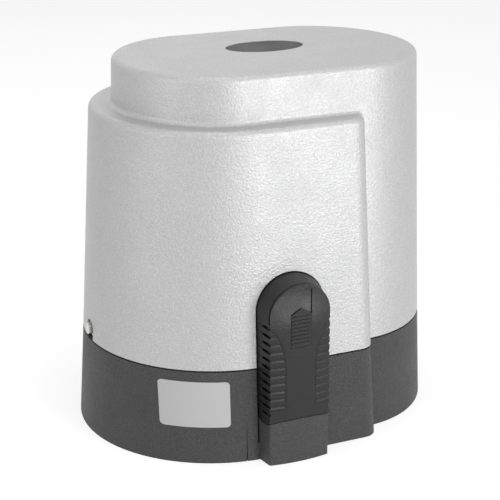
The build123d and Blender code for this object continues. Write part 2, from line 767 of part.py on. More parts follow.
def make_rotor_core():
    core = rod(stator_bore_radius - rotor_gap, stator_low + 1, stator_high - 1, at=(worm_x, 0))
    core += rod(stator_bore_radius - 3, stator_low - 5, stator_high + 5, at=(worm_x, 0))
    return core - rod(worm_shaft_radius, 0, 400, at=(worm_x, 0))


def make_tie_bolts():
    bolts = Part()
    for x, y in tie_bolt_places:
        bolts += rod(tie_bolt_radius, motor_flange_z - 10, shield_top - 8, at=(x, y))
        head = extrude(RegularPolygon(4.6, 6), 4.0)
        bolts += Pos(x, y, shield_top - 8) * head
    return bolts


# Release block behind the handle, on the base, with ears for the hinge pin and a bore for the release rod.
ear_offset = 12.0
ear_thickness = 5.0
ear_radius = 5.4
release_half_width = handle_half_width_back - 1.5


def make_release_block():
    face = arch_face(release_half_width, handle_arch_z, block_top + 3.5)
    body = upright(face, release_face_y, release_face_y + release_depth)
    pocket = arch_face(release_half_width - 4, handle_arch_z, block_top - 5)
    body -= upright(pocket, release_face_y + 8, release_face_y + release_depth + 1)
    body -= rod(lip_radius, -80, 40, "X", (hinge_y, hinge_z))
    # Legs down to the base floor.
    for side in (-1, 1):
        x = shaft_x + side * (release_half_width - 5)
        body += block(x - 3, x + 3, -104, release_face_y + release_depth, base_floor, block_top + 4)
    for side in (-1, 1):
        x = shaft_x + side * ear_offset
        ear = block(x - ear_thickness / 2, x + ear_thickness / 2, hinge_y, -104, hinge_z - ear_radius, hinge_z + ear_radius)
        ear += rod(ear_radius, x - ear_thickness / 2, x + ear_thickness / 2, "X", (hinge_y, hinge_z))
        body += ear
        # Gusset that ties the ear to the block behind the sweep.
        body += block(x - ear_thickness / 2, x + ear_thickness / 2, -106, release_face_y + release_depth,
                      hinge_z - 14, hinge_z + 18)
    body += rod(7.0, release_face_y + 2, release_face_y + release_depth, "Y", (shaft_x, shaft_z))
    body -= rod(release_rod_radius + 0.1, -140, 0, "Y", (shaft_x, shaft_z))
    body -= rod(hinge_pin_radius + running_gap, -80, 40, "X", (hinge_y, hinge_z))
    # Slot that the lock's tab enters.
    body -= block(shaft_x - 10, shaft_x + 10, release_face_y - 1, release_face_y + 5, lock_z - 10, lock_z + 10)
    return body


release_rod_radius = 3.9
rod_rest_y = -113.5


def make_release_rod():
    """Push rod from the handle's cam to the clutch's cross pin."""
    axis = (shaft_x, shaft_z)
    push = rod(release_rod_radius, rod_rest_y, cross_pin_y - cross_pin_radius - 0.05, "Y", axis)
    return fillet(push.edges().group_by(Axis.Y)[0], 2.0)


def handle_outer():
    """Outer form of the handle: an arch that narrows towards a domed face."""
    back = arch_face(handle_half_width_back, handle_arch_z, 20)
    front = arch_face(handle_half_width_front, handle_arch_z, 20)
    depth = handle_back_y - (handle_front_y - handle_dome)
    slope = (handle_half_width_back - handle_half_width_front) / (handle_back_y - handle_front_y)
    tip_half = handle_half_width_back - slope * depth
    tip = arch_face(tip_half, handle_arch_z, 20)
    low = (Pos(0, handle_back_y, 0) * Rot(90, 0, 0) * back).face().outer_wire()
    high = (Pos(0, handle_front_y - handle_dome, 0) * Rot(90, 0, 0) * tip).face().outer_wire()
    form = Part() + Solid.make_loft([low, high], ruled=True)
    # The face is domed from side to side.
    dome_radius = (handle_half_width_front ** 2 + handle_dome ** 2) / (2 * handle_dome)
    centre_y = handle_front_y - handle_dome + dome_radius
    form = form & rod(dome_radius, 0, 200, at=(shaft_x, centre_y))
    # The foot is round about the hinge.
    above = block(-100, 40, -140, -100, hinge_z, 200)
    return form & (above + rod(hinge_sweep_radius, -80, 40, "X", (hinge_y, hinge_z)))


def make_handle():
    form = handle_outer()
    # A groove separates the face from the flanks.
    groove_out = handle_half_width_front + 1.1
    groove_in = handle_half_width_front - 0.3
    ring = arch_face(groove_out + 1.5, handle_arch_z, grip_top_z) - arch_face(groove_in, handle_arch_z, grip_top_z - 5)
    form -= upright(ring, handle_front_y + 0.2, handle_front_y + 1.9)
    # Grip grooves on the flanks and on the edges of the face.
    for i in range(grip_groove_count):
        z = grip_groove_low_z + grip_groove_pitch * i
        for side in (-1, 1):
            x = shaft_x + side * (handle_half_width_front + 0.5)
            form -= rod(grip_groove_radius, handle_front_y - 6, handle_back_y - 4, "Y", (x, z))
    # Hollow, open at the back.
    cavity = upright(arch_face(handle_half_width_front - handle_wall, handle_arch_z, hinge_z - 11),
                     handle_front_y + handle_wall - 0.4, handle_back_y + 2)
    hollow = form - cavity
    hollow -= block(shaft_x - 21, shaft_x + 21, handle_front_y + handle_wall - 0.4, handle_back_y + 2, 20, hinge_z)
    # Barrels for the hinge pin beside the ears, the cam and the lock's housing.
    cam = rod(6.0, shaft_x - 3.5, shaft_x + 3.5, "X", (hinge_y, hinge_z))
    cam += rod(cam_tip_radius, shaft_x - 3.5, shaft_x + 3.5, "X", (hinge_y + cam_y, hinge_z - cam_z))
    cam_angle = math.degrees(math.atan2(cam_z, cam_y))
    cam_length = math.hypot(cam_y, cam_z)
    cam += Pos(shaft_x, hinge_y + cam_y / 2, hinge_z - cam_z / 2) * Rot(-cam_angle, 0, 0) * Box(
        7.0, cam_length, 2 * cam_tip_radius)
    cam += block(shaft_x - 3.5, shaft_x + 3.5, handle_front_y + 1, hinge_y, hinge_z - 3, hinge_z + 3)
    hollow += cam
    for side in (-1, 1):
        inner = shaft_x + side * (ear_offset + ear_thickness / 2 + 0.4)
        outer = shaft_x + side * (handle_half_width_front - 1)
        low, high = sorted((inner, outer))
        hollow += rod(5.0, low, high, "X", (hinge_y, hinge_z))
    housing = rod(lock_radius + 2.5, handle_front_y - 0.5, handle_back_y - 1.0, "Y", (shaft_x, lock_z))
    hollow += housing
    hollow -= rod(lock_radius + running_gap, -140, -100, "Y", (shaft_x, lock_z))
    hollow -= rod(hinge_pin_radius, shaft_x - pin_half_length, shaft_x + pin_half_length, "X", (hinge_y, hinge_z))
    # Shallow channel that the key cover slides in.
    channel = block(shaft_x - key_cover_half_width - sliding_gap, shaft_x + key_cover_half_width + sliding_gap,
                    -140, key_cover_back_y + sliding_gap, key_cover_low - sliding_gap,
                    key_cover_tip + key_cover_travel + sliding_gap)
    return hollow - channel


grip_top_z = grip_groove_low_z + grip_groove_pitch * (grip_groove_count - 1) + 3.0
pin_half_length = 24.0
cam_y = 6.0
cam_z = 9.0
cam_tip_radius = 2.0
key_cover_back_y = handle_front_y - handle_dome + 1.2


def make_hinge_pin():
    return rod(hinge_pin_radius - 0.01, shaft_x - pin_half_length, shaft_x + pin_half_length, "X", (hinge_y, hinge_z))


def make_key_cover():
    """Ribbed slide with a pointed top over the key lock."""
    half = key_cover_half_width
    wire = Wire.make_polygon([
        (shaft_x - half, key_cover_low, 0),
        (shaft_x + half, key_cover_low, 0),
        (shaft_x + half, key_cover_shoulder, 0),
        (shaft_x, key_cover_tip, 0),
        (shaft_x - half, key_cover_shoulder, 0),
    ], close=True)
    slide = upright(make_face(wire), key_cover_back_y - key_cover_thickness + 0.6, key_cover_back_y)
    rib_pitch = (key_cover_shoulder - key_cover_low - 2) / key_cover_ribs
    for i in range(key_cover_ribs):
        z = key_cover_low + 1.5 + rib_pitch * (i + 0.5)
        slide += block(shaft_x - half + 1, shaft_x + half - 1, key_cover_back_y - key_cover_thickness,
                       key_cover_back_y - 0.5, z - 0.6, z + 0.6)
    return slide


def make_lock_cylinder():
    """Key cylinder with the tab that holds the handle shut."""
    front = key_cover_back_y + sliding_gap
    barrel = rod(lock_radius, front, handle_back_y - 0.6, "Y", (shaft_x, lock_z))
    barrel -= block(shaft_x - 0.8, shaft_x + 0.8, front - 1, front + 5, lock_z - 3.5, lock_z + 3.5)
    barrel += rod(4.0, handle_back_y - 0.8, release_face_y + 3.0, "Y", (shaft_x, lock_z))
    tab = block(shaft_x - 3, shaft_x + 3, release_face_y + 1.0, release_face_y + 3.0, lock_z - 2, lock_z + 8.5)
    return barrel + tab


def make_control_bracket():
    """Plastic plate on two legs that carries the circuit board."""
    plate = block(board_x, board_x + 3, -64, 64, 92, 246)
    plate = fillet(plate.edges().filter_by(Axis.X), 8)
    for y in (-40, 40):
        plate += block(board_x - 4, board_x + 6, y - 5, y + 5, base_floor, 100)
        plate += block(board_x - 10, board_x + 12, y - 8, y + 8, base_floor, base_floor + 4)
    for y, z in board_posts:
        plate += rod(3.5, board_x - 5, board_x + 1, "X", (y, z))
    return plate


board_x = -76.0
board_posts = [(y, z) for y in (-52.0, 52.0) for z in (106.0, 234.0)]
board_front = board_x - 6.6


def make_circuit_board():
    board = block(board_front, board_x - 5, -58, 58, 100, 240)
    return board


def make_relays():
    relays = Part()
    for y in (-40.0, -14.0):
        relays += block(board_front - 16, board_front, y - 9, y + 9, 196, 224)
    return fillet(relays.edges().filter_by(Axis.X), 1.0)


def make_terminal_block():
    row = block(board_front - 14, board_front, -54, 54, 102, 114)
    row = chamfer(row.edges().filter_by(Axis.Y).sort_by(Axis.X)[0:1], 3)
    for i in range(14):
        y = -50.5 + i * 7.77
        row -= rod(1.8, board_front - 20, board_front - 4, "X", (y, 108))
    return row


def make_board_parts():
    """Fuse holder, main chip and display of the control board."""
    parts = block(board_front - 8, board_front, 16, 46, 206, 216)
    parts += block(board_front - 3, board_front, -12, 12, 140, 164)
    parts += block(board_front - 7, board_front, 20, 50, 140, 160)
    return parts


transformer_at = (-116.0, -26.0)


def make_transformer():
    x, y = transformer_at
    core = block(x - 20, x + 20, y - 20, y + 20, base_floor + 6, base_floor + 50)
    core -= block(x - 25, x - 13, y - 21, y + 21, base_floor + 16, base_floor + 40)
    core -= block(x + 13, x + 25, y - 21, y + 21, base_floor + 16, base_floor + 40)
    core += block(x - 28, x + 28, y - 14, y + 14, base_floor, base_floor + 6)
    return core


def make_transformer_coil():
    x, y = transformer_at
    coils = Part()
    for side in (-1, 1):
        low, high = sorted((side * 20.2, side * 29))
        coil = block(x - 12, x + 12, y + low, y + high, base_floor + 17, base_floor + 39)
        coils += fillet(coil.edges().filter_by(Axis.Y), 4)
    return coils


capacitor_x = 90.0
capacitor_radius = 19.0


def make_capacitor():
    can = rod(capacitor_radius, base_floor + 3, base_floor + 82, at=(capacitor_x, 0))
    can = fillet(can.edges().group_by(Axis.Z)[-1], 3)
    for side in (-1, 1):
        can += block(capacitor_x - 3, capacitor_x + 3, side * 6 - 0.5, side * 6 + 0.5, base_floor + 81, base_floor + 88)
    return can


def make_capacitor_clip():
    ring = rod(capacitor_radius + 2.2, base_floor, base_floor + 26, at=(capacitor_x, 0))
    ring -= rod(capacitor_radius + seat_gap, base_floor + 3, 60, at=(capacitor_x, 0))
    ring += block(capacitor_x - 14, capacitor_x + 14, -28, -18, base_floor, base_floor + 3)
    ring -= rod(capacitor_radius + seat_gap, base_floor + 3, 60, at=(capacitor_x, 0))
    return ring


def make_limit_housing():
    face = arch_face(limit_arch_half_width - 0.8, limit_arch_top - limit_arch_half_width, limit_base_z)
    body = upright(face, 84, 108.0)
    # The cavity and mouth in which the lever swings.
    body -= block(shaft_x - 12, shaft_x + 12, limit_pivot_y - 9, 109, limit_lever_z - 5, limit_lever_z + 5)
    body -= rod(2.5 + 0.01, limit_lever_z - 9, limit_lever_z + 9, at=(shaft_x, limit_pivot_y))
    return body


def make_limit_pin():
    return rod(2.5, limit_lever_z - 9, limit_lever_z + 9, at=(shaft_x, limit_pivot_y))


def make_limit_lever():
    """Feeler that the stops on the rack push to either side."""
    lever = rod(5.5, limit_lever_z - 4.6, limit_lever_z + 4.6, at=(shaft_x, limit_pivot_y))
    lever += rod(limit_lever_radius, limit_pivot_y, limit_lever_reach - 6, "Y", (shaft_x, limit_lever_z))
    for i in range(7):
        y = 116.0 + i * 3.6
        lever += Pos(shaft_x, y, limit_lever_z) * Rot(90, 0, 0) * Torus(limit_lever_radius, 1.2)
    tip = Pos(shaft_x, limit_lever_reach - 5, limit_lever_z) * Sphere(5.0)
    return lever + tip - rod(2.5 + running_gap, 0, 300, at=(shaft_x, limit_pivot_y))


def make_rating_plate():
    """Bare plate on the left of the base's front."""
    proud = 0.5
    plate_film = 0.03
    skin = drafted(bump_outline, 20, 74, -proud) - drafted(bump_outline, 20, 74, -plate_film)
    low_x, high_x = -128.0, -79.0
    window = block(low_x, high_x, -130, -40, 31, 69)
    window = fillet(window.edges().filter_by(Axis.Y), 3)
    return skin & window


save(make_cover(), "cover")
save(make_badge(), "badge_inlay")
save(make_cover_screws(), "cover_screws")
save(make_gasket(), "gasket")
save(make_base(), "base")
save(make_cable_grommet(), "cable_grommet")
save(make_gear_case(), "gear_case")
save(make_case_cover(), "gear_case_cover")
save(make_case_screws(), "gear_case_screws")
save(make_shaft_bushes(), "shaft_bushes")
save(make_shaft_seal(), "shaft_seal")
save(make_output_shaft(), "output_shaft")
save(make_worm_wheel(), "worm_wheel")
save(make_clutch_ring(), "clutch_ring")
save(make_clutch_pin(), "clutch_pin")
save(make_pinion(), "rack_pinion")
save(make_pinion_key(), "pinion_key")
save(make_pinion_bolt(), "pinion_bolt")
save(make_pinion_spacer(), "pinion_spacer")
save(make_pinion_washer_ring(), "pinion_distance_ring")
save(make_worm_shaft(), "worm_shaft")
save(make_motor_bearings(), "motor_bearings")
save(make_lower_shield(), "motor_lower_shield")
save(make_upper_shield(), "motor_upper_shield")
save(make_stator(), "stator")
save(make_windings(), "windings")
save(make_rotor_core(), "rotor")
save(make_tie_bolts(), "tie_bolts")
save(make_release_block(), "release_block")
save(make_release_rod(), "release_rod")
save(make_handle(), "release_handle")
save(make_hinge_pin(), "hinge_pin")
save(make_key_cover(), "key_cover")
save(make_lock_cylinder(), "lock_cylinder")
save(make_control_bracket(), "control_bracket")
save(make_circuit_board(), "circuit_board")
save(make_relays(), "relays")
save(make_terminal_block(), "terminal_block")
save(make_board_parts(), "board_parts")
save(make_transformer(), "transformer")
save(make_transformer_coil(), "transformer_coil")
save(make_capacitor(), "capacitor")
save(make_capacitor_clip(), "capacitor_clip")
save(make_limit_housing(), "limit_housing")
save(make_limit_pin(), "limit_pin")
save(make_limit_lever(), "limit_lever")
save(make_rating_plate(), "rating_plate")
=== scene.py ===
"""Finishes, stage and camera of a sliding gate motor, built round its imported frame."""
import math

import bmesh
import bpy
from bpy.props import FloatProperty, FloatVectorProperty, PointerProperty
from bpy.types import Operator, Panel, PropertyGroup
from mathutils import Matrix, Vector


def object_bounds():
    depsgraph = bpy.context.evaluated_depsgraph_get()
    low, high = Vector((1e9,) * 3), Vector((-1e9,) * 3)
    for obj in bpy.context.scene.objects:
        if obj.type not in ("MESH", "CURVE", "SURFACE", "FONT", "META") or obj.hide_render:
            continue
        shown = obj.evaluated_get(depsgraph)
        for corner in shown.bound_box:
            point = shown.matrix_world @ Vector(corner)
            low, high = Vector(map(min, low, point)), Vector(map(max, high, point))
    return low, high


bl_info = {
    "name": "Sliding gate motor",
    "version": (1, 0, 0),
    "blender": (4, 5, 0),
    "location": "3D View > Sidebar > Gate motor",
    "description": "Dresses a sliding gate motor with its finishes, small pieces, stage and camera",
    "category": "Object",
}

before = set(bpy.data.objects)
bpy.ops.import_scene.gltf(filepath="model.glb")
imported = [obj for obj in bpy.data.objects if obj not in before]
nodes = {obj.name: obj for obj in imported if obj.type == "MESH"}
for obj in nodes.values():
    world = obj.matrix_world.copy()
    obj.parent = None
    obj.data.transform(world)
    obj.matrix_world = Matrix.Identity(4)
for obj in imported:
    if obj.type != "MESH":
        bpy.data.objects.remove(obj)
cad_low, cad_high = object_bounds()

MM = 0.001

# The photograph's width and the camera's shift in its pixels, and the sensor's width in millimetres.
PHOTO_WIDTH = 500
SHIFT_X_PIXELS = -15.4
SHIFT_Y_PIXELS = -8.2
SENSOR_WIDTH = 36.0

# Each soft light's place and width, and the floor's reach to each side, in metres.
LIGHTS = {
    "key_light": ((0.45, -1.4, 0.3), 0.6),
    "front_light": ((0.1, -1.5, 0.9), 0.8),
    "side_light": ((-1.6, -0.3, 0.5), 1.0),
    "top_light": ((0.0, -0.1, 1.7), 1.0),
    "back_light": ((0.1, 1.4, 1.1), 1.2),
}
FLOOR_REACH = 12.0

# How much stronger the fine speck of a moulded finish is than its wide mottling.
SPECK_GAIN = 6.5

# The release handle's middle, its grips' outline and grooves, and where its face starts to roll back.
HANDLE_X = -28 * MM
GRIP_OUTER = 28.7 * MM
GRIP_INNER = 12.7 * MM
GRIP_LOW_Z = 47.5 * MM
GRIP_BEND_Z = 80 * MM
GRIP_TOP_Z = 116 * MM
GROOVE_LOW_Z = 44 * MM
GROOVE_PITCH = 6.6 * MM
GROOVE_EDGE = 0.25 * MM
GROOVE_HALF_WIDTH = 1.7 * MM
GROOVE_END_INNER = 1.0 * MM
GROOVE_END_OUTER = 0.4 * MM
LINE_EDGE = 0.15 * MM
LINE_HALF_WIDTH = 0.5 * MM
ROLL_LOW_Z = 112 * MM
ROLL_RADIUS = 70 * MM

# Depths of the handle's grooves and line, in millimetres, as its relief is reckoned in them.
GROOVE_DEPTH_MM = 0.6
LINE_DEPTH_MM = 0.4

# Share of the handle's colour taken away as painted shade in its grooves and its line.
GROOVE_PAINTED_SHADE = 0.6
LINE_PAINTED_SHADE = 0.75

# Grain and gloss of the handle's plastic.
HANDLE_GRAIN = 1.4 * MM
HANDLE_GRAIN_DEPTH = 0.22 * MM
HANDLE_GLOSS = 0.42


# Property groups

def colour_property(name, description, default):
    """A colour that the sidebar shows as a swatch."""
    return FloatVectorProperty(name=name, description=description, default=default,
                               min=0.0, max=1.0, size=3, subtype="COLOR")


def factor_property(name, description, default):
    """A share between nothing and all."""
    return FloatProperty(name=name, description=description, default=default,
                         min=0.0, max=1.0, subtype="FACTOR")


def power_property(name, description, default):
    """A light's power in watts."""
    return FloatProperty(name=name, description=description, default=default, min=0.0, unit="POWER")


def length_property(name, description, default):
    """A length in metres."""
    return FloatProperty(name=name, description=description, default=default, precision=5, unit="LENGTH")


class HousingFinish(PropertyGroup):
    """Colours and grain of the cover, the base and the handle."""
    cover_colour: colour_property("Cover", "Silver-grey paint of the moulded cover", (0.60, 0.60, 0.605))
    cover_gloss_roughness: factor_property("Cover roughness", "How dull the cover's paint is", 0.45)
    cover_flake: factor_property("Cover flake", "Share of metal flake in the cover's paint", 0.4)
    cover_grain: length_property("Cover grain", "Width of one grain of the cover's texture", 1.6 * MM)
    cover_grain_depth: length_property("Cover grain depth", "Depth of the cover's texture", 0.45 * MM)
    base_colour: colour_property("Base", "Dark grey plastic of the base", (0.062, 0.062, 0.063))
    base_roughness: factor_property("Base roughness", "How dull the base is", 0.55)
    base_grain: length_property("Base grain", "Width of one grain of the base's texture", 1.6 * MM)
    base_grain_depth: length_property("Base grain depth", "Depth of the base's texture", 1.3 * MM)
    handle_colour: colour_property("Handle", "Black plastic of the release handle", (0.010, 0.010, 0.0105))
    handle_roughness: factor_property("Handle roughness", "How dull the handle is", 0.42)
    badge_colour: colour_property("Badge", "Dark film of the bare inlay on top", (0.022, 0.022, 0.023))
    plate_colour: colour_property("Rating plate", "Pale film of the bare plate", (0.66, 0.66, 0.66))


class InnerFinish(PropertyGroup):
    """Colours of what is under the cover."""
    casting_colour: colour_property("Castings", "Die-cast aluminium", (0.56, 0.56, 0.57))
    steel_colour: colour_property("Steel", "Ground steel", (0.56, 0.56, 0.57))
    zinc_colour: colour_property("Zinc", "Zinc plating on screws and the pinion", (0.63, 0.63, 0.60))
    bronze_colour: colour_property("Bronze", "Worm wheel and bushes", (0.66, 0.43, 0.20))
    brass_colour: colour_property("Brass", "Key cylinder", (0.72, 0.56, 0.28))
    copper_colour: colour_property("Copper", "Enamelled windings", (0.60, 0.25, 0.10))
    lamination_colour: colour_property("Laminations", "Varnished electrical steel", (0.17, 0.165, 0.16))
    board_colour: colour_property("Board", "Solder mask of the control board", (0.012, 0.12, 0.05))
    relay_colour: colour_property("Relays", "Relay cases", (0.025, 0.08, 0.30))
    terminal_colour: colour_property("Terminals", "Terminal housings", (0.03, 0.26, 0.09))
    tape_colour: colour_property("Coil tape", "Tape round the transformer's winding", (0.62, 0.46, 0.08))
    can_colour: colour_property("Capacitor", "White plastic can", (0.72, 0.72, 0.70))


class StageSettings(PropertyGroup):
    """Floor, lights and camera."""
    floor_colour: colour_property("Floor", "Pale studio floor", (0.62, 0.62, 0.62))
    floor_glow: factor_property("Floor glow", "White that the floor shows the camera besides its light", 0.7)
    surround: FloatProperty(name="Surround", description="Strength of the even light all round",
                            default=0.31, min=0.0)
    key_light: power_property("Key light", "Soft low light in front, on the right", 8.6)
    front_light: power_property("Front light", "Soft light in front", 2.0)
    side_light: power_property("Side light", "Soft light on the left", 3.8)
    top_light: power_property("Top light", "Soft light above", 4.2)
    back_light: power_property("Back light", "Soft high light behind", 1.2)
    camera_place: FloatVectorProperty(name="Camera", description="Where the camera stands",
                                      default=(-0.46134, -1.03618, 0.53766), size=3, subtype="TRANSLATION",
                                      unit="LENGTH")
    camera_tilt: FloatProperty(name="Tilt", description="Camera's angle from straight down",
                               default=math.radians(70.63), subtype="ANGLE")
    camera_turn: FloatProperty(name="Turn", description="Camera's angle about the vertical",
                               default=math.radians(-24.0), subtype="ANGLE")
    camera_lens: FloatProperty(name="Lens", description="Focal length", default=101.63, unit="CAMERA")


# Node helpers

def start_finish(name):
    """An empty node material, its shader and the coordinates of its object."""
    finish = bpy.data.materials.new(name)
    finish.use_nodes = True
    tree = finish.node_tree
    tree.nodes.clear()
    output = tree.nodes.new("ShaderNodeOutputMaterial")
    shader = tree.nodes.new("ShaderNodeBsdfPrincipled")
    tree.links.new(shader.outputs["BSDF"], output.inputs["Surface"])
    place = tree.nodes.new("ShaderNodeTexCoord").outputs["Object"]
    return finish, tree, shader, place


def stretched(tree, place, stretch):
    """The coordinates, stretched along each axis."""
    mapping = tree.nodes.new("ShaderNodeMapping")
    mapping.inputs["Scale"].default_value = stretch
    tree.links.new(place, mapping.inputs["Vector"])
    return mapping.outputs["Vector"]


def cloud(tree, place, grain, detail=2.0, stretch=None):
    """Soft noise whose blotches are about one grain wide."""
    noise = tree.nodes.new("ShaderNodeTexNoise")
    noise.inputs["Scale"].default_value = 1.0 / grain
    noise.inputs["Detail"].default_value = detail
    tree.links.new(stretched(tree, place, stretch) if stretch else place, noise.inputs["Vector"])
    return noise.outputs["Fac"]


def between(tree, share, low, high, start=0.3, end=0.7):
    """Moves a value between low and high as the share goes from start to end."""
    node = tree.nodes.new("ShaderNodeMapRange")
    node.inputs["From Min"].default_value = start
    node.inputs["From Max"].default_value = end
    node.inputs["To Min"].default_value = low
    node.inputs["To Max"].default_value = high
    tree.links.new(share, node.inputs["Value"])
    return node.outputs["Result"]


def shade(tree, share, colour, darkest, lightest, start=0.3, end=0.7):
    """The colour, darkened and lightened by the share."""
    ramp = tree.nodes.new("ShaderNodeValToRGB")
    ramp.color_ramp.elements[0].position = start
    ramp.color_ramp.elements[1].position = end
    for element, level in zip(ramp.color_ramp.elements, (darkest, lightest)):
        element.color = [min(1.0, c * level) for c in colour] + [1.0]
    tree.links.new(share, ramp.inputs["Fac"])
    return ramp.outputs["Color"]


def mixed(tree, share, first, second):
    """One colour output over another by the share."""
    mix = tree.nodes.new("ShaderNodeMix")
    mix.data_type = "RGBA"
    tree.links.new(share, mix.inputs["Factor"])
    for source, socket in ((first, mix.inputs["A"]), (second, mix.inputs["B"])):
        if hasattr(source, "is_linked"):
            tree.links.new(source, socket)
        else:
            socket.default_value = (*source, 1.0)
    return mix.outputs["Result"]


def relief(tree, shader, height, depth, below=None):
    """Bump of the given depth on the shader, on top of the bump below."""
    bump = tree.nodes.new("ShaderNodeBump")
    bump.inputs["Distance"].default_value = depth
    tree.links.new(height, bump.inputs["Height"])
    if below:
        tree.links.new(below, bump.inputs["Normal"])
    tree.links.new(bump.outputs["Normal"], shader.inputs["Normal"])
    return bump.outputs["Normal"]


def banded(tree, place, axis, width, profile="SIN", distortion=0.0):
    """Bands across an axis, each as wide as said."""
    wave = tree.nodes.new("ShaderNodeTexWave")
    wave.bands_direction = axis
    wave.wave_profile = profile
    wave.inputs["Scale"].default_value = math.pi / 10.0 / width
    wave.inputs["Distortion"].default_value = distortion
    tree.links.new(place, wave.inputs["Vector"])
    return wave.outputs["Fac"]


# Finishes

def moulded(name, colour, roughness, grain, depth, mottling=0.04, gloss=0.5, coat=0.0, flake=0.0):
    """Moulded or painted plastic with a fine eroded grain and faint flow marks."""
    finish, tree, shader, place = start_finish(name)
    flow = cloud(tree, place, 60 * MM, 3.0)
    tone = shade(tree, flow, colour, 1.0 - mottling, 1.0 + mottling)
    speck = cloud(tree, place, grain * 0.7, 1.0)
    fine = shade(tree, speck, colour, 1.0 - SPECK_GAIN * mottling, 1.0 + SPECK_GAIN * mottling)
    tree.links.new(mixed(tree, speck, tone, fine), shader.inputs["Base Color"])
    tree.links.new(between(tree, cloud(tree, place, 25 * MM, 4.0), roughness - 0.05, roughness + 0.05),
                   shader.inputs["Roughness"])
    coarse = relief(tree, shader, cloud(tree, place, grain, 2.0), depth)
    relief(tree, shader, cloud(tree, place, grain * 0.35, 1.0), depth * 0.35, coarse)
    shader.inputs["Specular IOR Level"].default_value = gloss
    shader.inputs["Coat Weight"].default_value = coat
    shader.inputs["Coat Roughness"].default_value = 0.25
    shader.inputs["Metallic"].default_value = flake
    return finish


def metal(name, colour, roughness, grain, depth, lines=None, mottling=0.06):
    """Metal with a cast, plated or cut surface; lines stretch the grain into tool marks."""
    finish, tree, shader, place = start_finish(name)
    shader.inputs["Metallic"].default_value = 1.0
    wide = cloud(tree, place, 20 * MM, 4.0)
    tree.links.new(shade(tree, wide, colour, 1.0 - mottling, 1.0 + mottling), shader.inputs["Base Color"])
    marks = cloud(tree, place, grain, 3.0, lines)
    tree.links.new(between(tree, marks, roughness - 0.08, roughness + 0.08), shader.inputs["Roughness"])
    relief(tree, shader, marks, depth)
    return finish


def laminated(name, colour):
    """A pack of thin steel sheets under varnish, stacked upwards."""
    finish, tree, shader, place = start_finish(name)
    sheets = banded(tree, place, "Z", 0.65 * MM, "SAW")
    tree.links.new(shade(tree, sheets, colour, 0.65, 1.25, 0.1, 0.9), shader.inputs["Base Color"])
    tree.links.new(between(tree, cloud(tree, place, 9 * MM, 3.0), 0.32, 0.5), shader.inputs["Roughness"])
    shader.inputs["Metallic"].default_value = 0.6
    relief(tree, shader, sheets, 0.08 * MM)
    return finish


def wound(name, colour, axis, wire, roughness=0.35):
    """Enamelled wire or tape laid in turns across an axis."""
    finish, tree, shader, place = start_finish(name)
    turns = banded(tree, place, axis, wire, "SIN", 1.2)
    tree.links.new(shade(tree, turns, colour, 0.55, 1.15, 0.15, 0.85), shader.inputs["Base Color"])
    tree.links.new(between(tree, cloud(tree, place, 6 * MM, 2.0), roughness - 0.08, roughness + 0.08),
                   shader.inputs["Roughness"])
    shader.inputs["Coat Weight"].default_value = 0.4
    shader.inputs["Coat Roughness"].default_value = 0.2
    relief(tree, shader, turns, 0.25 * MM)
    return finish


def circuit(name, colour):
    """Glass board under solder mask, with the faint tracks below it."""
    finish, tree, shader, place = start_finish(name)
    brick = tree.nodes.new("ShaderNodeTexBrick")
    brick.inputs["Scale"].default_value = 1.0 / (8 * MM)
    brick.inputs["Mortar Size"].default_value = 0.04
    brick.inputs["Color1"].default_value = (*colour, 1.0)
    brick.inputs["Color2"].default_value = (*[c * 1.35 for c in colour], 1.0)
    brick.inputs["Mortar"].default_value = (*[c * 2.2 for c in colour], 1.0)
    turned = tree.nodes.new("ShaderNodeMapping")
    turned.inputs["Rotation"].default_value = (math.radians(90), 0.0, math.radians(90))
    tree.links.new(place, turned.inputs["Vector"])
    tree.links.new(turned.outputs["Vector"], brick.inputs["Vector"])
    tree.links.new(brick.outputs["Color"], shader.inputs["Base Color"])
    tree.links.new(between(tree, cloud(tree, place, 12 * MM, 2.0), 0.22, 0.34), shader.inputs["Roughness"])
    relief(tree, shader, brick.outputs["Fac"], 0.03 * MM)
    shader.inputs["Coat Weight"].default_value = 0.3
    return finish


def arithmetic(tree, kind, first, second=0.0, third=0.0):
    """One step of arithmetic between outputs or plain numbers."""
    step = tree.nodes.new("ShaderNodeMath")
    step.operation = kind
    for value, socket in zip((first, second, third), step.inputs):
        if hasattr(value, "is_linked"):
            tree.links.new(value, socket)
        else:
            socket.default_value = value
    return step.outputs["Value"]


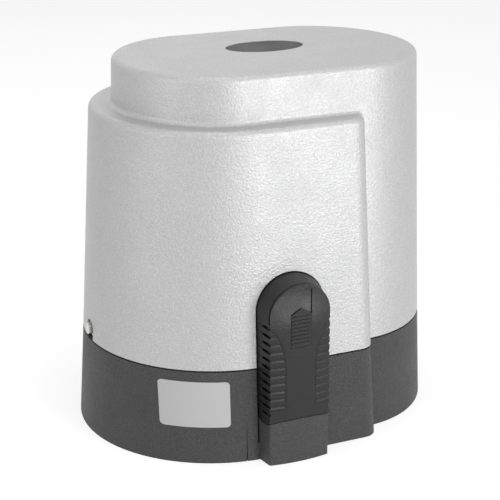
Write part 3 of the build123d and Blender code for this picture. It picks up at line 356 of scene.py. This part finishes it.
def gripped(name, colour, roughness):
    """Black plastic with grooved grips inside a fine line, painted shade in the grooves and the line, and a
    face that rolls back at the top.
    """
    finish, tree, shader, place = start_finish(name)

    def step(kind, *values):
        """One step of arithmetic in this finish."""
        return arithmetic(tree, kind, *values)

    split = tree.nodes.new("ShaderNodeSeparateXYZ")
    tree.links.new(place, split.inputs["Vector"])
    across = step("ABSOLUTE", step("SUBTRACT", split.outputs["X"], HANDLE_X))
    height = split.outputs["Z"]
    # Distance from the grip's outline: straight up beside the face, then bending outwards.
    grip_width = GRIP_OUTER - GRIP_INNER
    side = step("DIVIDE", step("SUBTRACT", GRIP_OUTER, across), grip_width)
    past_bend = step("MAXIMUM", step("SUBTRACT", height, GRIP_BEND_Z), 0.0)
    above = step("DIVIDE", past_bend, GRIP_TOP_Z - GRIP_BEND_Z)
    squares = step("ADD", step("POWER", side, 2.0), step("POWER", above, 2.0))
    round_part = step("MULTIPLY", step("SUBTRACT", step("SQRT", squares), 1.0), grip_width)
    outside = step("MAXIMUM", round_part, step("SUBTRACT", GRIP_LOW_Z, height))
    line = between(tree, step("ABSOLUTE", outside), 0.0, 1.0, LINE_EDGE, LINE_HALF_WIDTH)
    inside = between(tree, outside, 1.0, 0.0, -GROOVE_END_INNER, -GROOVE_END_OUTER)
    # Grooves across the grip, one at each pitch of height.
    turn = step("PINGPONG", step("SUBTRACT", height, GROOVE_LOW_Z), GROOVE_PITCH / 2)
    ridge = between(tree, turn, 0.0, 1.0, GROOVE_EDGE, GROOVE_HALF_WIDTH)
    dip = step("MULTIPLY", inside, step("SUBTRACT", 1.0, ridge))
    # The relief in millimetres: rolled back at the top, less the line and the grooves.
    roll = step("POWER", step("MAXIMUM", step("SUBTRACT", height, ROLL_LOW_Z), 0.0), 2.0)
    form = step("MULTIPLY_ADD", roll, -0.5 / ROLL_RADIUS / MM, step("MULTIPLY", line, LINE_DEPTH_MM))
    form = step("SUBTRACT", form, step("MULTIPLY", dip, GROOVE_DEPTH_MM))
    # Painted shade: the colour is darkened in the grooves and along the line, where shade falls in them.
    groove_painted_shade = step("MULTIPLY_ADD", dip, -GROOVE_PAINTED_SHADE, 1.0)
    line_painted_shade = step("MULTIPLY_ADD", line, LINE_PAINTED_SHADE, 1.0 - LINE_PAINTED_SHADE)
    painted_shade = step("MULTIPLY", groove_painted_shade, line_painted_shade)
    tree.links.new(shade(tree, painted_shade, colour, 0.1, 1.0, 0.0, 1.0), shader.inputs["Base Color"])
    tree.links.new(between(tree, cloud(tree, place, 9 * MM, 3.0), roughness - 0.05, roughness + 0.05),
                   shader.inputs["Roughness"])
    coarse = relief(tree, shader, form, 1.0 * MM)
    relief(tree, shader, cloud(tree, place, HANDLE_GRAIN, 2.0), HANDLE_GRAIN_DEPTH, coarse)
    shader.inputs["Specular IOR Level"].default_value = HANDLE_GLOSS
    return finish


def dress(finish, *names):
    """Gives every material slot of the named CAD nodes this finish."""
    for name in names:
        node = nodes[name]
        if not node.material_slots:
            node.data.materials.append(finish)
        for slot in node.material_slots:
            slot.material = finish


# Aiming

def point_at(light, target):
    """Turns a light towards a place."""
    light.rotation_euler = (Vector(target) - light.location).to_track_quat("-Z", "Y").to_euler()


# Operators

class GATEMOTOR_OT_cover(Operator):
    """Paint the cover and finish its badge"""
    bl_idname = "gatemotor.cover"
    bl_label = "Cover"

    def execute(self, context):
        look = context.scene.gatemotor_housing
        paint = moulded("cover_silver_paint", look.cover_colour, look.cover_gloss_roughness, look.cover_grain,
                        look.cover_grain_depth, mottling=0.03, gloss=0.4, flake=look.cover_flake)
        dress(paint, "cover")
        dress(moulded("badge_film", look.badge_colour, 0.5, 0.5 * MM, 0.004 * MM, mottling=0.05, gloss=0.3),
              "badge_inlay")
        return {"FINISHED"}


class GATEMOTOR_OT_base(Operator):
    """Finish the base with its gasket, plate and cable entry"""
    bl_idname = "gatemotor.base"
    bl_label = "Base"

    def execute(self, context):
        look = context.scene.gatemotor_housing
        dress(moulded("base_grey_plastic", look.base_colour, look.base_roughness, look.base_grain,
                      look.base_grain_depth, mottling=0.08), "base")
        dress(moulded("plate_film", look.plate_colour, 0.38, 0.6 * MM, 0.003 * MM, mottling=0.012, coat=0.15),
              "rating_plate")
        dress(moulded("black_rubber", (0.018, 0.018, 0.018), 0.75, 0.5 * MM, 0.02 * MM, gloss=0.3),
              "gasket", "cable_grommet", "shaft_seal")
        return {"FINISHED"}


class GATEMOTOR_OT_handle(Operator):
    """Finish the release handle, its key cover and the release block"""
    bl_idname = "gatemotor.handle"
    bl_label = "Release handle"

    def execute(self, context):
        look = context.scene.gatemotor_housing
        dress(gripped("handle_black_plastic", look.handle_colour, look.handle_roughness), "release_handle")
        dress(moulded("key_cover_black_plastic", look.handle_colour, look.handle_roughness, HANDLE_GRAIN,
                      HANDLE_GRAIN_DEPTH, mottling=0.06, gloss=HANDLE_GLOSS), "key_cover")
        dress(moulded("release_black_nylon", (0.028, 0.028, 0.029), 0.5, 0.8 * MM, 0.02 * MM, mottling=0.08),
              "release_block")
        return {"FINISHED"}


class GATEMOTOR_OT_drive(Operator):
    """Finish the gear case, shafts, gears and the pinion"""
    bl_idname = "gatemotor.drive"
    bl_label = "Drive"

    def execute(self, context):
        look = context.scene.gatemotor_inner
        cast = metal("cast_aluminium", look.casting_colour, 0.5, 0.9 * MM, 0.05 * MM)
        dress(cast, "gear_case", "gear_case_cover", "motor_lower_shield", "motor_upper_shield")
        turned = metal("turned_steel", look.steel_colour, 0.28, 3 * MM, 0.006 * MM, lines=(0.3, 14.0, 0.3))
        dress(turned, "output_shaft", "clutch_ring", "clutch_pin", "pinion_spacer", "pinion_distance_ring",
              "pinion_key", "hinge_pin", "release_rod")
        upright = metal("upright_turned_steel", look.steel_colour, 0.26, 3 * MM, 0.005 * MM,
                        lines=(0.3, 0.3, 14.0))
        dress(upright, "worm_shaft", "motor_bearings", "limit_pin")
        zinc = metal("zinc_plating", look.zinc_colour, 0.32, 0.7 * MM, 0.008 * MM, mottling=0.1)
        dress(zinc, "gear_case_screws", "tie_bolts", "pinion_bolt", "cover_screws")
        dress(metal("cut_gear_steel", look.zinc_colour, 0.34, 2.4 * MM, 0.012 * MM, lines=(0.4, 6.0, 0.4)),
              "rack_pinion")
        dress(metal("cast_bronze", look.bronze_colour, 0.36, 0.8 * MM, 0.02 * MM),
              "worm_wheel", "shaft_bushes")
        dress(metal("turned_brass", look.brass_colour, 0.28, 2 * MM, 0.005 * MM, lines=(0.3, 10.0, 0.3)),
              "lock_cylinder")
        return {"FINISHED"}


class GATEMOTOR_OT_motor(Operator):
    """Finish the stator, windings, rotor and capacitor"""
    bl_idname = "gatemotor.motor"
    bl_label = "Motor"

    def execute(self, context):
        look = context.scene.gatemotor_inner
        dress(laminated("stacked_laminations", look.lamination_colour), "stator", "rotor", "transformer")
        dress(wound("copper_turns", look.copper_colour, "Z", 0.9 * MM), "windings")
        dress(wound("yellow_coil_tape", look.tape_colour, "Y", 6 * MM, 0.45), "transformer_coil")
        dress(moulded("white_can", look.can_colour, 0.4, 0.8 * MM, 0.01 * MM, mottling=0.02), "capacitor")
        return {"FINISHED"}


class GATEMOTOR_OT_control(Operator):
    """Finish the control board with its carrier and the limit switch"""
    bl_idname = "gatemotor.control"
    bl_label = "Control"

    def execute(self, context):
        look = context.scene.gatemotor_inner
        nylon = moulded("black_nylon", (0.03, 0.03, 0.031), 0.55, 0.9 * MM, 0.03 * MM, mottling=0.08)
        dress(nylon, "control_bracket", "capacitor_clip", "limit_housing")
        dress(circuit("green_board", look.board_colour), "circuit_board")
        dress(moulded("blue_relay_case", look.relay_colour, 0.3, 1.2 * MM, 0.006 * MM), "relays")
        dress(moulded("green_terminal_case", look.terminal_colour, 0.42, 0.9 * MM, 0.01 * MM),
              "terminal_block")
        dress(moulded("chip_cases", (0.025, 0.025, 0.026), 0.48, 0.5 * MM, 0.01 * MM), "board_parts")
        dress(metal("spring_wire", look.steel_colour, 0.3, 1.5 * MM, 0.004 * MM), "limit_lever")
        return {"FINISHED"}


class GATEMOTOR_OT_stage(Operator):
    """Lay the floor, hang the lights and set the camera"""
    bl_idname = "gatemotor.stage"
    bl_label = "Stage"

    def execute(self, context):
        look = context.scene.gatemotor_stage
        self.lay_floor(look)
        self.light_room(context, look)
        centre = (cad_low + cad_high) / 2
        for name, (place, width) in LIGHTS.items():
            self.hang_light(name, place, width, getattr(look, name), centre)
        self.set_camera(context, look)
        return {"FINISHED"}

    def lay_floor(self, look):
        """A wide floor that stays white for the camera and keeps the soft shadow."""
        mesh = bmesh.new()
        bmesh.ops.create_grid(mesh, x_segments=1, y_segments=1, size=FLOOR_REACH)
        data = bpy.data.meshes.new("studio_floor")
        mesh.to_mesh(data)
        mesh.free()
        floor = bpy.data.objects.new("studio_floor", data)
        bpy.context.scene.collection.objects.link(floor)
        finish = bpy.data.materials.new("studio_floor")
        finish.use_nodes = True
        tree = finish.node_tree
        tree.nodes.clear()
        output = tree.nodes.new("ShaderNodeOutputMaterial")
        matte = tree.nodes.new("ShaderNodeBsdfDiffuse")
        matte.inputs["Color"].default_value = (*look.floor_colour, 1.0)
        glow = tree.nodes.new("ShaderNodeEmission")
        both = tree.nodes.new("ShaderNodeAddShader")
        tree.links.new(matte.outputs["BSDF"], both.inputs[0])
        tree.links.new(glow.outputs["Emission"], both.inputs[1])
        tree.links.new(both.outputs["Shader"], output.inputs["Surface"])
        shown = arithmetic(tree, "MULTIPLY", self.seen_rays(tree), look.floor_glow)
        tree.links.new(shown, glow.inputs["Strength"])
        data.materials.append(finish)

    def seen_rays(self, tree):
        """One for rays that show the background: straight, mirrored or through something clear."""
        path = tree.nodes.new("ShaderNodeLightPath")
        total = path.outputs["Is Camera Ray"]
        for kind in ("Is Glossy Ray", "Is Transmission Ray"):
            total = arithmetic(tree, "MAXIMUM", total, path.outputs[kind])
        return total

    def light_room(self, context, look):
        """Even light from all sides, in front of a white background."""
        world = bpy.data.worlds.new("studio_room")
        context.scene.world = world
        world.use_nodes = True
        tree = world.node_tree
        background = tree.nodes["Background"]
        background.inputs["Color"].default_value = (1.0, 1.0, 1.0, 1.0)
        strength = tree.nodes.new("ShaderNodeMapRange")
        strength.inputs["To Min"].default_value = look.surround
        strength.inputs["To Max"].default_value = 1.0
        tree.links.new(self.seen_rays(tree), strength.inputs["Value"])
        tree.links.new(strength.outputs["Result"], background.inputs["Strength"])

    def hang_light(self, name, place, width, power, target):
        """A square soft light that points at a place."""
        data = bpy.data.lights.new(name, "AREA")
        data.shape = "SQUARE"
        data.size = width
        data.energy = power
        light = bpy.data.objects.new(name, data)
        light.location = place
        bpy.context.scene.collection.objects.link(light)
        point_at(light, target)

    def set_camera(self, context, look):
        """The camera that the photograph was fitted to."""
        data = bpy.data.cameras.new("photo_camera")
        data.sensor_fit = "HORIZONTAL"
        data.sensor_width = SENSOR_WIDTH
        data.lens = look.camera_lens
        data.shift_x = SHIFT_X_PIXELS / PHOTO_WIDTH
        data.shift_y = SHIFT_Y_PIXELS / PHOTO_WIDTH
        camera = bpy.data.objects.new("photo_camera", data)
        camera.location = look.camera_place
        camera.rotation_euler = (look.camera_tilt, 0.0, look.camera_turn)
        context.scene.collection.objects.link(camera)
        context.scene.camera = camera
        context.scene.view_settings.view_transform = "Standard"


class GATEMOTOR_PT_sidebar(Panel):
    """Lists the motor's steps and settings"""
    bl_idname = "GATEMOTOR_PT_sidebar"
    bl_label = "Sliding gate motor"
    bl_space_type = "VIEW_3D"
    bl_region_type = "UI"
    bl_category = "Gate motor"

    def draw(self, context):
        for step in STEPS:
            self.layout.operator(step.bl_idname)
        for group in SETTINGS:
            box = self.layout.box()
            held = getattr(context.scene, group)
            for name in type(held).__annotations__:
                box.prop(held, name)


STEPS = (GATEMOTOR_OT_cover, GATEMOTOR_OT_base, GATEMOTOR_OT_handle, GATEMOTOR_OT_drive, GATEMOTOR_OT_motor,
         GATEMOTOR_OT_control, GATEMOTOR_OT_stage)
SETTINGS = {
    "gatemotor_housing": HousingFinish,
    "gatemotor_inner": InnerFinish,
    "gatemotor_stage": StageSettings,
}
CLASSES = (*SETTINGS.values(), *STEPS, GATEMOTOR_PT_sidebar)


def register():
    for made in CLASSES:
        bpy.utils.register_class(made)
    for name, group in SETTINGS.items():
        setattr(bpy.types.Scene, name, PointerProperty(type=group))


def unregister():
    for name in SETTINGS:
        delattr(bpy.types.Scene, name)
    for made in reversed(CLASSES):
        bpy.utils.unregister_class(made)


def main():
    register()
    bpy.ops.gatemotor.cover()
    bpy.ops.gatemotor.base()
    bpy.ops.gatemotor.handle()
    bpy.ops.gatemotor.drive()
    bpy.ops.gatemotor.motor()
    bpy.ops.gatemotor.control()
    bpy.ops.gatemotor.stage()


if __name__ == "__main__":
    main()
